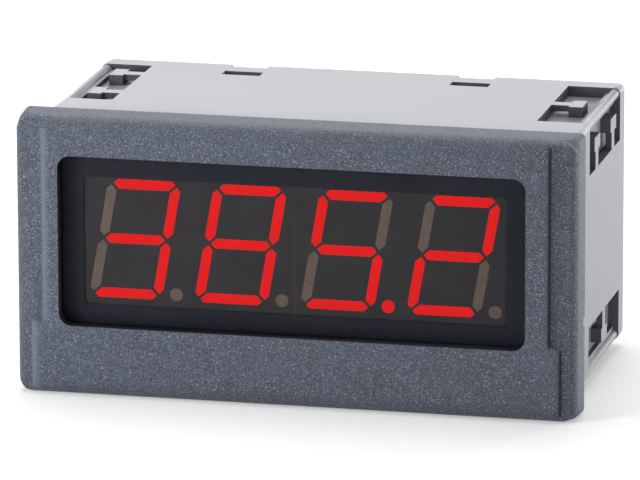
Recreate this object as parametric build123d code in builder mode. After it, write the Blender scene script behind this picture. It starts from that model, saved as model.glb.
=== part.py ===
"""Digital panel meter, 96 x 48 mm front, with a four-digit display and two pull-off terminal plugs.

Frame: X to the right of the viewer, +Y into the panel, +Z up, millimetres.
The origin lies on the meter's axis in the plane where the bezel's rim meets the panel.
"""
import os
from math import radians, tan

from build123d import *

os.makedirs("parts", exist_ok=True)

# Housing, which the bezel's rim overhangs all round
rim_side = 2.15
rim_level = 1.75
housing_length = 45.8
housing_corner = 1.1
wall = 1.8
cavity_corner = 0.8
sink = 0.6  # how deep an added rib is rooted in the wall that carries it
overshoot = 1.0  # how far a cutting tool runs past a face

# Clamp recesses at the four long edges of the housing
recess_front = 14.7
recess_end = 3.9
recess_span = 9.05
recess_depth = 1.84
lug_edge = 3.55
lug_width = 2.4
lug_length = 4.9
lug_rows = 3
lug_front_margin = 4.3
lug_rear_margin = 3.6
bar_depth = 1.05
bar_width = 2.4
bar_setback = 0.9
rod_radius = 0.8
rod_inset = 1.0

# Windows and notches for the rear cover's latches
latch_offset = 20.1
latch_window_width = 6.8
latch_window_length = 2.7
latch_window_end = 5.05
notch_width = 6.4
notch_length = 1.6

# Front bezel
bezel_width = 96.0
bezel_height = 48.0
bezel_depth = 8.0
bezel_corner = 2.4
bezel_level_round = 2.9
bezel_side_round = 1.6
strip_drop = 1.1
field_inset = 4.55
foot_inset = 2.65
foot_height = 13.0
foot_corner = 1.0
field_edge_radius = 0.95
front_wall = 2.4
seat_recess = 0.3
seat_clearance = 0.1
pry_height = 1.6
pry_width = 0.8
pry_depth = 1.0
pry_level = -8.1
skirt_length = 4.0
skirt_wall = 1.3
skirt_clearance = 0.15
bead_offset = 26.0
bead_width = 8.0
bead_start = 1.4
bead_length = 1.0
bead_height = 0.6
bead_clearance = 0.15

# Window and the black film behind it
window_border_left = 7.6
window_border_right = 8.5
window_border_top = 6.45
window_border_bottom = 12.25
window_corner = 2.2
window_gap = 0.2
window_recess = 0.3
window_chamfer = 0.25
flange_border = 1.3
flange_thickness = 1.0
film_thickness = 0.2
film_inset = 0.4
aperture_side = 3.8
aperture_level = 3.65
aperture_corner = 0.8
aperture_drop = 0.45

# Display: two twin-digit modules
reading = "385.2"
module_count = 2
digits_per_module = 2
module_overhang = 0.5
digit_shift = 0.2
digit_lift = 0.05
digit_margin = 0.71
digit_gap = 7.25
segment_thickness = 1.7
segment_gap = 0.36
segment_corner_cut = 0.66
segment_depth = 1.0
digit_slant = 10.0
point_aside = 1.57
point_rise = 0.22
point_radius = 1.12
module_border = 4.41
module_depth = 8.0
module_gap = 0.1
face_gap = 0.1
module_pin_size = 0.6
module_pin_count = 9
module_pin_pitch = 2.54
module_pin_inset = 1.65
pin_hole_clearance = 0.05
pin_tail = 0.8

# Circuit boards
board_thickness = 1.6
display_board_inset = 0.6
board_edge_gap = 0.4
main_board_rise = 5.05
main_board_end_gap = 0.4
main_board_side_gap = 0.25
rail_grip = 1.05
rail_height = 1.2
rail_gap = 0.1

# Header that links the two boards
link_pin_count = 14
link_pin_pitch = 2.54
link_pin_size = 0.6
link_body_length = 2.5
link_body_height = 2.5
link_setback = 0.6

# Parts on the main board, and their distances from its edges, the sockets and each other
transformer_width = 27.0
transformer_height = 19.0
transformer_round = 1.5
transformer_edge = 2.0
transformer_front_gap = 0.8
transformer_rear_gap = 1.1
capacitor_radius = 5.0
capacitor_height = 16.0
capacitor_pitch = 11.5
capacitor_gap = 1.5
capacitor_front_gap = 0.55
capacitor_rim = 0.5
chip_standoff = 0.1
chip_leg_width = 0.35
chip_leg_reach = 1.0
chip_leg_pitch = 0.8
chip_leg_count = 8
microcontroller_size = 7.0
microcontroller_thickness = 1.4
microcontroller_edge = 1.6
microcontroller_front_gap = 0.8
converter_width = 7.5
converter_length = 7.5
converter_thickness = 2.3
converter_gap = 1.5
converter_front_gap = 2.0
driver_width = 7.5
driver_height = 7.5
driver_x = -16.0
driver_lift = 1.1
driver_thickness = 2.3
regulator_width = 10.2
regulator_body_height = 8.8
regulator_body_depth = 4.4
regulator_tab_height = 6.5
regulator_tab_thickness = 1.2
regulator_hole_radius = 1.8
regulator_leg_width = 0.9
regulator_leg_length = 4.0
regulator_leg_pitch = 2.54
regulator_gap = 1.2
regulator_end_gap = 2.0
crystal_width = 10.5
crystal_depth = 4.6
crystal_height = 3.6
crystal_gap = 0.6
varistor_radius = 5.2
varistor_thickness = 3.6
varistor_leg = 0.8
varistor_leg_length = 3.0
varistor_leg_pitch = 5.0
varistor_gap = 1.2
varistor_end_gap = 3.3
resistor_radius = 1.2
resistor_length = 6.3
resistor_pitch = 4.0
resistor_count = 4
resistor_lead = 0.6
resistor_lead_span = 9.0
resistor_rise = 1.6
resistor_edge = 1.2
resistor_rear_gap = 0.6

# Terminal sockets and plugs
pole_pitch = 5.08
plug_side = 0.5
plug_clearance = 0.15
socket_wall = 1.0
socket_floor = 1.4
socket_length = 11.2
cavity_height_socket = 9.4
socket_lift = 1.1
socket_pin_size = 1.0
socket_pin_reach = 7.5
plug_front_gap = 0.5
plug_out = 10.1
plug_height = 12.0
plug_seam = 0.1
plug_round = 0.6
input_poles = 4
supply_poles = 2
socket_edge = 3.0
cover_clearance = 0.15

# Lift clamp of one pole; levels are measured from the plug's mid height
screw_setback = 4.8
head_radius = 1.9
head_height = 1.4
head_sink = 0.3
head_slot_width = 0.6
head_slot_depth = 0.7
shank_radius = 1.15
screw_clearance = 0.05
ledge = 0.6
cage_travel = 2.5
cage_width = 4.0
cage_length = 4.6
cage_wall = 0.8
cage_clearance = 0.1
bar_clearance = 0.25
contact_thickness = 0.8
contact_width = 2.4
contact_anchor = 0.7
contact_slot_clearance = 0.05
leaf_thickness = 0.4
leaf_length = 5.8
pin_clearance = 0.05
entry_size = 1.5
wire_hole_width = 3.0
wire_hole_height = 2.6

# Rear cover
cover_thickness = 2.0
cover_seat = 0.05
cover_side_gap = 0.15
latch_width = 6.0
latch_thickness = 1.2
latch_tip = 0.6
latch_tooth = 1.2
latch_play = 0.15
vent_count = 7
vent_width = 1.4
vent_length = 9.0
vent_pitch = 4.0
vent_margin = 10.3

# Outline of the housing and its cavity
housing_width = bezel_width - 2 * rim_side
housing_height = bezel_height - 2 * rim_level
half_width = housing_width / 2
half_height = housing_height / 2
cavity_width = housing_width - 2 * wall
cavity_height = housing_height - 2 * wall
recess_rear = housing_length - recess_end
recess_length = recess_rear - recess_front
backing_inner = half_width - recess_depth - wall
first_lug = recess_front + lug_front_margin
lug_pitch = (recess_rear - lug_rear_margin - lug_length - first_lug) / (lug_rows - 1)
latch_window_start = housing_length - latch_window_end - latch_window_length

# Levels through the front, from the bezel's face to the back of the display
skirt_width = cavity_width - 2 * skirt_clearance
skirt_height = cavity_height - 2 * skirt_clearance
bezel_cavity_width = skirt_width - 2 * skirt_wall
bezel_cavity_height = skirt_height - 2 * skirt_wall
bezel_face = -bezel_depth
strip_face = bezel_face + strip_drop
bezel_inner_face = bezel_face + front_wall
window_back = bezel_inner_face + flange_thickness
film_back = window_back + film_thickness
module_face = film_back + face_gap
module_back = module_face + module_depth
display_board_front = skirt_length
display_board_back = display_board_front + board_thickness

# Window, the film's aperture and the digits that fill it
window_width = bezel_width - window_border_left - window_border_right
window_height = bezel_height - window_border_top - window_border_bottom
window_centre_x = (window_border_left - window_border_right) / 2
window_centre_z = (window_border_bottom - window_border_top) / 2
aperture_width = window_width - 2 * aperture_side
aperture_height = window_height - 2 * aperture_level
digit_count = module_count * digits_per_module
digit_pitch = (aperture_width + module_overhang) / digit_count
digit_centre_x = window_centre_x - digit_shift
digit_centre_z = window_centre_z + digit_lift
digit_half_height = (aperture_height - segment_thickness) / 2 - digit_margin
digit_half_width = (digit_pitch - digit_gap) / 2
module_width = digits_per_module * digit_pitch - module_gap
module_height = 2 * (digit_half_height + module_border)
module_pin_level = module_height / 2 - module_pin_inset

# Boards
display_board_width = skirt_width - 2 * display_board_inset
display_board_height = skirt_height - 2 * display_board_inset
main_board_bottom = main_board_rise - cavity_height / 2
main_board_top = main_board_bottom + board_thickness
cover_front = housing_length - cover_thickness
main_board_start = display_board_back + board_edge_gap
main_board_end = cover_front - main_board_end_gap
main_board_side = backing_inner - main_board_side_gap
link_body_start = main_board_start + link_setback
link_bend = link_body_start + link_body_length + link_pin_size
link_level = main_board_top + link_body_height / 2

# Sockets and plugs
socket_front = housing_length - socket_length
socket_inner = socket_front + socket_floor
socket_height = cavity_height_socket + 2 * socket_lift
plug_level = main_board_top + socket_lift + cavity_height_socket / 2
plug_front = socket_inner + plug_front_gap
plug_shoulder = housing_length + plug_seam
plug_rear = housing_length + plug_out
plug_front_height = cavity_height_socket - 2 * plug_clearance


def plug_width(poles):
    """Width of a plug."""
    return poles * pole_pitch + 2 * plug_side


def socket_width(poles):
    """Width of a socket, which has the plug and its clearance between two walls."""
    return plug_width(poles) + 2 * plug_clearance + 2 * socket_wall


input_x = socket_edge + socket_width(input_poles) / 2 - main_board_side
supply_x = main_board_side - socket_edge - socket_width(supply_poles) / 2
input_inner_side = input_x + socket_width(input_poles) / 2
supply_inner_side = supply_x - socket_width(supply_poles) / 2

# Lift clamp
screw_y = plug_rear - screw_setback
head_top = plug_height / 2 - head_sink
ledge_top = head_top - head_height
pocket_top = ledge_top - ledge
cage_top_closed = pocket_top - cage_clearance
cage_top = cage_top_closed - cage_travel
bar_top = cage_top - cage_wall - bar_clearance
bar_bottom = bar_top - contact_thickness
cage_floor = bar_bottom - cage_travel
cage_bottom = cage_floor - cage_wall
pocket_bottom = cage_bottom - cage_clearance
pin_level = (bar_top + bar_bottom) / 2
cage_front = screw_y - cage_length / 2
cage_rear = screw_y + cage_length / 2
fork_end = socket_inner + socket_pin_reach + cage_clearance
fork_start = fork_end - leaf_length
fork_half = socket_pin_size / 2 + pin_clearance + leaf_thickness

# Places of the parts on the main board
transformer_front = link_bend + transformer_front_gap
transformer_rear = socket_front - socket_pin_size - transformer_rear_gap
transformer_length = transformer_rear - transformer_front
transformer_x = main_board_side - transformer_edge - transformer_width / 2
capacitor_x = transformer_x - transformer_width / 2 - capacitor_gap - capacitor_radius
capacitor_y = link_bend + capacitor_front_gap + capacitor_radius + capacitor_pitch / 2
microcontroller_reach = microcontroller_size / 2 + chip_leg_reach
microcontroller_x = microcontroller_edge + microcontroller_reach - main_board_side
microcontroller_y = main_board_start + microcontroller_front_gap + microcontroller_reach
converter_x = capacitor_x - capacitor_radius - converter_gap - converter_width / 2 - chip_leg_reach
converter_y = link_bend + converter_front_gap + converter_length / 2
driver_z = digit_centre_z + driver_lift
regulator_x = input_inner_side + regulator_gap + regulator_width / 2
regulator_y = main_board_end - regulator_end_gap - regulator_body_depth
varistor_x = supply_inner_side - varistor_gap - varistor_radius
varistor_y = main_board_end - varistor_end_gap - varistor_thickness
resistor_x = resistor_edge + resistor_radius - main_board_side
resistor_y = socket_front - socket_pin_size - resistor_rear_gap - resistor_lead_span / 2
resistor_row_end = resistor_x + (resistor_count - 1) * resistor_pitch + resistor_radius
crystal_x = resistor_row_end + crystal_gap + crystal_width / 2
crystal_y = resistor_y - (resistor_lead_span - crystal_depth) / 2

segment_letters = {
    "0": "abcdef",
    "1": "bc",
    "2": "abdeg",
    "3": "abcdg",
    "4": "bcfg",
    "5": "acdfg",
    "6": "acdefg",
    "7": "abc",
    "8": "abcdefg",
    "9": "abcdfg",
}
corners = [(side, level) for side in (-1, 1) for level in (-1, 1)]


def across(y):
    """Plane across the meter's depth at y; a negative extrusion from it runs into the panel."""
    return Plane.XZ.offset(-y)


def level_plane(z):
    """Horizontal plane at height z."""
    return Plane.XY.offset(z)


def block(x, y, z, mode=Mode.ADD):
    """Box between two limits on each axis, in the part under construction."""
    centre = ((x[0] + x[1]) / 2, (y[0] + y[1]) / 2, (z[0] + z[1]) / 2)
    with Locations(centre):
        Box(abs(x[1] - x[0]), abs(y[1] - y[0]), abs(z[1] - z[0]), mode=mode)


def corner_legs(span, depth, spill):
    """L-shaped section at each corner, measured inward from the outer faces."""
    for side, level in corners:
        x_long = side * (half_width + (spill - span) / 2)
        z_long = level * (half_height + (spill - span) / 2)
        x_short = side * (half_width + (spill - depth) / 2)
        z_short = level * (half_height + (spill - depth) / 2)
        with Locations((x_long, z_short)):
            Rectangle(span + spill, depth + spill)
        with Locations((x_short, z_long)):
            Rectangle(depth + spill, span + spill)


def recess_block(side, level, on_flat, away, depth, y):
    """Block in a recess: away is its distance from the corner, depth its reach from the face."""
    if on_flat:
        x = (side * (half_width - away[0]), side * (half_width - away[1]))
        z = (level * (half_height - depth[0]), level * (half_height - depth[1]))
    else:
        x = (side * (half_width - depth[0]), side * (half_width - depth[1]))
        z = (level * (half_height - away[0]), level * (half_height - away[1]))
    block(x, y, z)


def clamp_lug(side, level, on_flat, y):
    """T-shaped lug: a block on the recess floor, tied to the recess wall by a shallow bar."""
    root = recess_depth + sink
    block_end = lug_edge + lug_width
    recess_block(side, level, on_flat, (lug_edge, block_end), (0, root), (y, y + lug_length))
    bar_start = y + bar_setback
    bar_reach = (block_end - sink, recess_span + sink)
    recess_block(side, level, on_flat, bar_reach, (0, bar_depth), (bar_start, bar_start + bar_width))


# Housing shell with its four clamp recesses
with BuildPart() as housing:
    with BuildSketch(across(-seat_recess)):
        RectangleRounded(housing_width, housing_height, housing_corner)
        RectangleRounded(cavity_width, cavity_height, cavity_corner, mode=Mode.SUBTRACT)
    extrude(amount=-(housing_length + seat_recess))
    with BuildSketch(across(recess_front - wall)):
        corner_legs(recess_span + wall, recess_depth + wall, -wall / 2)
    extrude(amount=-(recess_length + 2 * wall))
    with BuildSketch(across(recess_front)):
        corner_legs(recess_span, recess_depth, overshoot)
    extrude(amount=-recess_length, mode=Mode.SUBTRACT)
    with BuildSketch(across(recess_front - sink)):
        for side, level in corners:
            with Locations((side * (half_width - rod_inset), level * (half_height - rod_inset))):
                Circle(rod_radius)
            root_inset = (rod_inset + recess_depth + sink) / 2
            with Locations((side * (half_width - root_inset), level * (half_height - root_inset))):
                Rectangle(recess_depth + sink - rod_inset, recess_depth + sink - rod_inset)
    extrude(amount=-(recess_length + 2 * sink))
    for side, level in corners:
        paired_on_flat = side != level
        for row in range(lug_rows):
            on_flat = paired_on_flat if row % 2 == 0 else not paired_on_flat
            clamp_lug(side, level, on_flat, first_lug + row * lug_pitch)
    for side, level in corners:
        latch_x = side * latch_offset
        outer_z = level * (half_height + overshoot)
        inner_z = level * (half_height - wall - overshoot)
        window_x = (latch_x - latch_window_width / 2, latch_x + latch_window_width / 2)
        window_y = (latch_window_start, latch_window_start + latch_window_length)
        block(window_x, window_y, (inner_z, outer_z), mode=Mode.SUBTRACT)
        notch_x = (latch_x - notch_width / 2, latch_x + notch_width / 2)
        notch_y = (housing_length - notch_length, housing_length + overshoot)
        block(notch_x, notch_y, (inner_z, outer_z), mode=Mode.SUBTRACT)
        bead_x = (
            side * bead_offset - bead_width / 2 - bead_clearance,
            side * bead_offset + bead_width / 2 + bead_clearance,
        )
        bead_y = (bead_start - bead_clearance, bead_start + bead_length + bead_clearance)
        bead_reach = level * (skirt_height / 2 + bead_height + bead_clearance)
        block(bead_x, bead_y, (level * (skirt_height / 2 - sink), bead_reach), mode=Mode.SUBTRACT)
    for side in (-1, 1):
        rail_x = (side * (backing_inner - rail_grip - main_board_side_gap), side * (backing_inner + sink))
        rail_y = (recess_front - wall, recess_rear + wall)
        over = main_board_top + rail_gap
        under = main_board_bottom - rail_gap
        block(rail_x, rail_y, (over, over + rail_height))
        block(rail_x, rail_y, (under - rail_height, under))
housing.part.label = "housing"
export_step(housing.part, "parts/housing.step")


# Raised field of the bezel's front, wider at its foot
with BuildPart() as raised_field:
    field_top = bezel_height / 2
    shoulder_x = bezel_width / 2 - field_inset
    foot_x = bezel_width / 2 - foot_inset
    foot_top = foot_height - bezel_height / 2
    turn_x = foot_x - foot_corner
    turn_z = foot_top - foot_corner
    with BuildSketch(across(0)):
        with BuildLine():
            Line((-shoulder_x, field_top), (shoulder_x, field_top))
            Line((shoulder_x, field_top), (shoulder_x, foot_top))
            Line((shoulder_x, foot_top), (turn_x, foot_top))
            RadiusArc((turn_x, foot_top), (foot_x, turn_z), foot_corner)
            Line((foot_x, turn_z), (foot_x, -field_top))
            Line((foot_x, -field_top), (-foot_x, -field_top))
            Line((-foot_x, -field_top), (-foot_x, turn_z))
            RadiusArc((-foot_x, turn_z), (-turn_x, foot_top), foot_corner)
            Line((-turn_x, foot_top), (-shoulder_x, foot_top))
            Line((-shoulder_x, foot_top), (-shoulder_x, field_top))
        make_face()
    extrude(amount=-bezel_face)
    with BuildSketch(Plane.YZ.offset(-bezel_width / 2)):
        RectangleRounded(2 * bezel_depth, bezel_height, bezel_level_round)
    extrude(amount=bezel_width, mode=Mode.INTERSECT)
    face_edges = raised_field.faces().filter_by(Plane.XZ).sort_by(Axis.Y)[0].edges()
    end_level = field_top - bezel_level_round - sink
    fillet(face_edges.filter_by(lambda edge: abs(edge.center().Z) < end_level), field_edge_radius)


# Front bezel: frame, raised field, skirt, seat for the housing's end, snap beads and pry notches
with BuildPart() as front_bezel:
    with BuildSketch(across(0)):
        RectangleRounded(bezel_width, bezel_height, bezel_corner)
    extrude(amount=-strip_face)
    with BuildSketch(Plane.YZ.offset(-bezel_width / 2)):
        RectangleRounded(2 * bezel_depth, bezel_height, bezel_level_round)
    extrude(amount=bezel_width, mode=Mode.INTERSECT)
    with BuildSketch(Plane.XY.offset(-bezel_height / 2)):
        RectangleRounded(bezel_width, -2 * strip_face, bezel_side_round)
    extrude(amount=bezel_height, mode=Mode.INTERSECT)
    add(raised_field.part)
    with BuildSketch(across(bezel_inner_face)):
        Rectangle(bezel_cavity_width, bezel_cavity_height)
    extrude(amount=bezel_inner_face - overshoot, mode=Mode.SUBTRACT)
    with BuildSketch(across(bezel_face - overshoot)):
        with Locations((window_centre_x, window_centre_z)):
            RectangleRounded(window_width, window_height, window_corner)
    extrude(amount=-(front_wall + 2 * overshoot), mode=Mode.SUBTRACT)
    with BuildSketch(across(0)):
        RectangleRounded(skirt_width, skirt_height, cavity_corner)
        Rectangle(bezel_cavity_width, bezel_cavity_height, mode=Mode.SUBTRACT)
    extrude(amount=-skirt_length)
    with BuildSketch(across(-seat_recess)):
        seat_width = housing_width + 2 * seat_clearance
        seat_height = housing_height + 2 * seat_clearance
        RectangleRounded(seat_width, seat_height, housing_corner + seat_clearance)
        RectangleRounded(skirt_width, skirt_height, cavity_corner, mode=Mode.SUBTRACT)
    extrude(amount=-seat_recess, mode=Mode.SUBTRACT)
    for side, level in corners:
        bead_x = (side * bead_offset - bead_width / 2, side * bead_offset + bead_width / 2)
        bead_z = (level * (skirt_height / 2 - sink), level * (skirt_height / 2 + bead_height))
        block(bead_x, (bead_start, bead_start + bead_length), bead_z)
    for side in (-1, 1):
        pry_x = (side * (bezel_width / 2 - pry_width), side * (bezel_width / 2 + overshoot))
        pry_z = (pry_level - pry_height / 2, pry_level + pry_height / 2)
        block(pry_x, (-pry_depth, overshoot), pry_z, mode=Mode.SUBTRACT)
front_bezel.part.label = "front_bezel"
export_step(front_bezel.part, "parts/front_bezel.step")


# Tinted window: a block that fills the opening and a flange behind it
with BuildPart() as window:
    pane_width = window_width - 2 * window_gap
    pane_height = window_height - 2 * window_gap
    with BuildSketch(across(bezel_face + window_recess)):
        with Locations((window_centre_x, window_centre_z)):
            RectangleRounded(pane_width, pane_height, window_corner - window_gap)
    extrude(amount=-(front_wall - window_recess + flange_thickness))
    chamfer(window.faces().sort_by(Axis.Y)[0].edges(), window_chamfer)
    with BuildSketch(across(bezel_inner_face)):
        with Locations((window_centre_x, window_centre_z)):
            Rectangle(window_width + 2 * flange_border, window_height + 2 * flange_border)
    extrude(amount=-flange_thickness)
window.part.label = "window"
export_step(window.part, "parts/window.step")


# Black film between the window and the display, with the display's aperture
with BuildPart() as masking_film:
    with BuildSketch(across(window_back)):
        with Locations((window_centre_x, window_centre_z)):
            Rectangle(
                window_width + 2 * (flange_border - film_inset),
                window_height + 2 * (flange_border - film_inset),
            )
        with Locations((digit_centre_x, window_centre_z - aperture_drop)):
            RectangleRounded(aperture_width, aperture_height, aperture_corner, mode=Mode.SUBTRACT)
    extrude(amount=-film_thickness)
masking_film.part.label = "masking_film"
export_step(masking_film.part, "parts/masking_film.step")


def digit_place(index):
    """Centre of a digit, counted from the left."""
    return (digit_centre_x + (index - (digit_count - 1) / 2) * digit_pitch, digit_centre_z)


def leaned(place, points):
    """Points of a digit, leaned to the right and moved to the digit's place."""
    return [(place[0] + u + v * tan(radians(digit_slant)), place[1] + v) for u, v in points]


def mirrored(points, across_u, across_v):
    """Points of a digit, mirrored across its axes where the signs are negative."""
    return [(across_u * u, across_v * v) for u, v in points]


def level_segment(v, lift):
    """Outline of a level segment at height v; lift moves its tips outwards along the mitres."""
    half = segment_thickness / 2
    tip = digit_half_width - segment_gap
    flat = tip - half
    return [
        (-tip - lift, v + lift),
        (-flat - 2 * lift, v + half),
        (flat + 2 * lift, v + half),
        (tip + lift, v + lift),
        (flat, v - half),
        (-flat, v - half),
    ]


def upright_segment(lift):
    """Outline of the upper right segment; lift moves its upper tip outwards along the mitre."""
    half = segment_thickness / 2
    top = digit_half_height - segment_gap
    return [
        (digit_half_width, segment_gap),
        (digit_half_width - half, segment_gap + half),
        (digit_half_width - half, top - half),
        (digit_half_width + lift, top + lift),
        (digit_half_width + half, top - half + 2 * lift),
        (digit_half_width + half, segment_gap + half),
    ]


corner_lift = segment_thickness / 2 - segment_corner_cut
top_segment = level_segment(digit_half_height, corner_lift)
side_segment = upright_segment(corner_lift)
segment_outlines = {
    "a": top_segment,
    "b": side_segment,
    "c": mirrored(side_segment, 1, -1),
    "d": mirrored(top_segment, 1, -1),
    "e": mirrored(side_segment, -1, -1),
    "f": mirrored(side_segment, -1, 1),
    "g": level_segment(0, 0),
}
digits = [mark for mark in reading if mark != "."]
point_digit = reading.index(".") - 1 if "." in reading else -1


def draw_segments(first, last, shows):
    """Segments and points of a run of digits, those for which shows(index, letter) holds."""
    for index in range(first, last):
        place = digit_place(index)
        for letter, outline in segment_outlines.items():
            if shows(index, letter):
                Polygon(*leaned(place, outline), align=None)
        if shows(index, "point"):
            point_x = place[0] + digit_half_width + point_aside
            with Locations((point_x, place[1] + point_rise - digit_half_height)):
                Circle(point_radius)


def is_lit(index, letter):
    """Whether a segment or point is lit in the reading that is shown."""
    if letter == "point":
        return index == point_digit
    return letter in segment_letters[digits[index]]


def is_dark(index, letter):
    """Whether a segment or point is dark in the reading that is shown."""
    return not is_lit(index, letter)


def is_any(index, letter):
    """Every segment and point has a well, lit or dark."""
    return True


def module_centre(index):
    """Middle of a display module, counted from the left."""
    return digit_centre_x + (index - (module_count - 1) / 2) * digits_per_module * digit_pitch


# Display modules: twin-digit blocks with wells for their segments
for index, module_name in enumerate(("left_display", "right_display")):
    with BuildPart() as display_module:
        with BuildSketch(across(module_face)):
            with Locations((module_centre(index), digit_centre_z)):
                Rectangle(module_width, module_height)
        extrude(amount=-module_depth)
        with BuildSketch(across(module_face)):
            first = digits_per_module * index
            draw_segments(first, first + digits_per_module, is_any)
        extrude(amount=-segment_depth, mode=Mode.SUBTRACT)
    display_module.part.label = module_name
    export_step(display_module.part, f"parts/{module_name}.step")

# Segments, lit and dark, which fill the wells flush with the face
for segment_name, shows in (("lit_segments", is_lit), ("unlit_segments", is_dark)):
    with BuildPart() as segments:
        with BuildSketch(across(module_face)):
            draw_segments(0, digit_count, shows)
        extrude(amount=-segment_depth)
    segments.part.label = segment_name
    export_step(segments.part, f"parts/{segment_name}.step")


def module_pin_places():
    """Places of the modules' pins: a row above and a row below each module's middle."""
    places = []
    for index in range(module_count):
        for row in (-1, 1):
            for column in range(module_pin_count):
                offset = (column - (module_pin_count - 1) / 2) * module_pin_pitch
                places.append((module_centre(index) + offset, digit_centre_z + row * module_pin_level))
    return places


def link_pin_places():
    """Sideways places of the pins that link the two boards."""
    return [(column - (link_pin_count - 1) / 2) * link_pin_pitch for column in range(link_pin_count)]


# Pins of the display modules
with BuildPart() as display_pins:
    with BuildSketch(across(module_back)):
        with Locations(*module_pin_places()):
            Rectangle(module_pin_size, module_pin_size)
    extrude(amount=-(display_board_back + pin_tail - module_back))
display_pins.part.label = "display_pins"
export_step(display_pins.part, "parts/display_pins.step")


# Display board, which stands on the end of the bezel's skirt
with BuildPart() as display_board:
    with BuildSketch(across(display_board_front)):
        Rectangle(display_board_width, display_board_height)
        hole = module_pin_size + 2 * pin_hole_clearance
        with Locations(*module_pin_places()):
            Rectangle(hole, hole, mode=Mode.SUBTRACT)
        link_hole = link_pin_size + 2 * pin_hole_clearance
        with Locations(*[(x, link_level) for x in link_pin_places()]):
            Rectangle(link_hole, link_hole, mode=Mode.SUBTRACT)
    extrude(amount=-board_thickness)
display_board.part.label = "display_board"
export_step(display_board.part, "parts/display_board.step")


# Main board, held in the housing's rails
with BuildPart() as main_board:
    block(
        (-main_board_side, main_board_side),
        (main_board_start, main_board_end),
        (main_board_bottom, main_board_top),
    )
main_board.part.label = "main_board"
export_step(main_board.part, "parts/main_board.step")


# Header between the boards: its body and its angled pins
with BuildPart() as link_header:
    link_half = link_pin_count * link_pin_pitch / 2
    link_y = (link_body_start, link_body_start + link_body_length)
    block((-link_half, link_half), link_y, (main_board_top, main_board_top + link_body_height))
    for x in link_pin_places():
        hole_x = (x - link_pin_size / 2, x + link_pin_size / 2)
        hole_z = (link_level - link_pin_size / 2, link_level + link_pin_size / 2)
        block(hole_x, link_y, hole_z, mode=Mode.SUBTRACT)
link_header.part.label = "link_header"
export_step(link_header.part, "parts/link_header.step")

with BuildPart() as link_pins:
    pin_start = display_board_front - pin_tail / 2
    for x in link_pin_places():
        pin_x = (x - link_pin_size / 2, x + link_pin_size / 2)
        pin_z = (link_level - link_pin_size / 2, link_level + link_pin_size / 2)
        block(pin_x, (pin_start, link_bend), pin_z)
        block(pin_x, (link_bend - link_pin_size, link_bend), (main_board_top, link_level))
link_pins.part.label = "link_pins"
export_step(link_pins.part, "parts/link_pins.step")


def chip(width, length, thickness, centre, base, legs_across):
    """Flat chip on a horizontal board, with a row of legs on two sides or on all four."""
    x, y = centre
    seat = base + chip_standoff
    block((x - width / 2, x + width / 2), (y - length / 2, y + length / 2), (seat, seat + thickness))
    sides = [(length / 2, width / 2, True)]
    if legs_across:
        sides.append((width / 2, length / 2, False))
    for run, edge, along_y in sides:
        count = min(chip_leg_count, int(2 * run / chip_leg_pitch))
        for place in range(count):
            offset = (place - (count - 1) / 2) * chip_leg_pitch
            leg = (offset - chip_leg_width / 2, offset + chip_leg_width / 2)
            for side in (-1, 1):
                reach = (side * (edge - sink), side * (edge + chip_leg_reach))
                leg_z = (base, seat + thickness / 2)
                if along_y:
                    block((x + reach[0], x + reach[1]), (y + leg[0], y + leg[1]), leg_z)
                else:
                    block((x + leg[0], x + leg[1]), (y + reach[0], y + reach[1]), leg_z)


# Microcontroller with legs on four sides
with BuildPart() as microcontroller:
    place = (microcontroller_x, microcontroller_y)
    size = microcontroller_size
    chip(size, size, microcontroller_thickness, place, main_board_top, True)
microcontroller.part.label = "microcontroller"
export_step(microcontroller.part, "parts/microcontroller.step")


# Signal converter chip with legs on two sides
with BuildPart() as converter_chip:
    place = (converter_x, converter_y)
    chip(converter_width, converter_length, converter_thickness, place, main_board_top, False)
converter_chip.part.label = "converter_chip"
export_step(converter_chip.part, "parts/converter_chip.step")


# Display driver chip on the back of the display board
with BuildPart() as driver_chip:
    driver_face = display_board_back + chip_standoff
    block(
        (driver_x - driver_width / 2, driver_x + driver_width / 2),
        (driver_face, driver_face + driver_thickness),
        (driver_z - driver_height / 2, driver_z + driver_height / 2),
    )
    for column in range(chip_leg_count):
        x = driver_x + (column - (chip_leg_count - 1) / 2) * chip_leg_pitch
        for side in (-1, 1):
            near = driver_z + side * (driver_height / 2 - sink)
            far = driver_z + side * (driver_height / 2 + chip_leg_reach)
            leg_y = (display_board_back, driver_face + driver_thickness / 2)
            block((x - chip_leg_width / 2, x + chip_leg_width / 2), leg_y, (near, far))
driver_chip.part.label = "driver_chip"
export_step(driver_chip.part, "parts/driver_chip.step")


# Potted mains transformer
with BuildPart() as transformer:
    with BuildSketch(level_plane(main_board_top)):
        with Locations((transformer_x, (transformer_front + transformer_rear) / 2)):
            RectangleRounded(transformer_width, transformer_length, transformer_round)
    extrude(amount=transformer_height)
    chamfer(transformer.faces().sort_by(Axis.Z)[-1].edges(), transformer_round / 2)
transformer.part.label = "transformer"
export_step(transformer.part, "parts/transformer.step")


# Two smoothing capacitors, each a can with a crimped foot
with BuildPart() as smoothing_capacitors:
    for row in (-1, 1):
        with BuildSketch(level_plane(main_board_top)):
            with Locations((capacitor_x, capacitor_y + row * capacitor_pitch / 2)):
                Circle(capacitor_radius)
        extrude(amount=capacitor_height)
    tops = smoothing_capacitors.faces().filter_by(Axis.Z).group_by(Axis.Z)[-1]
    chamfer(tops.edges(), capacitor_rim)
smoothing_capacitors.part.label = "smoothing_capacitors"
export_step(smoothing_capacitors.part, "parts/smoothing_capacitors.step")


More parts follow.
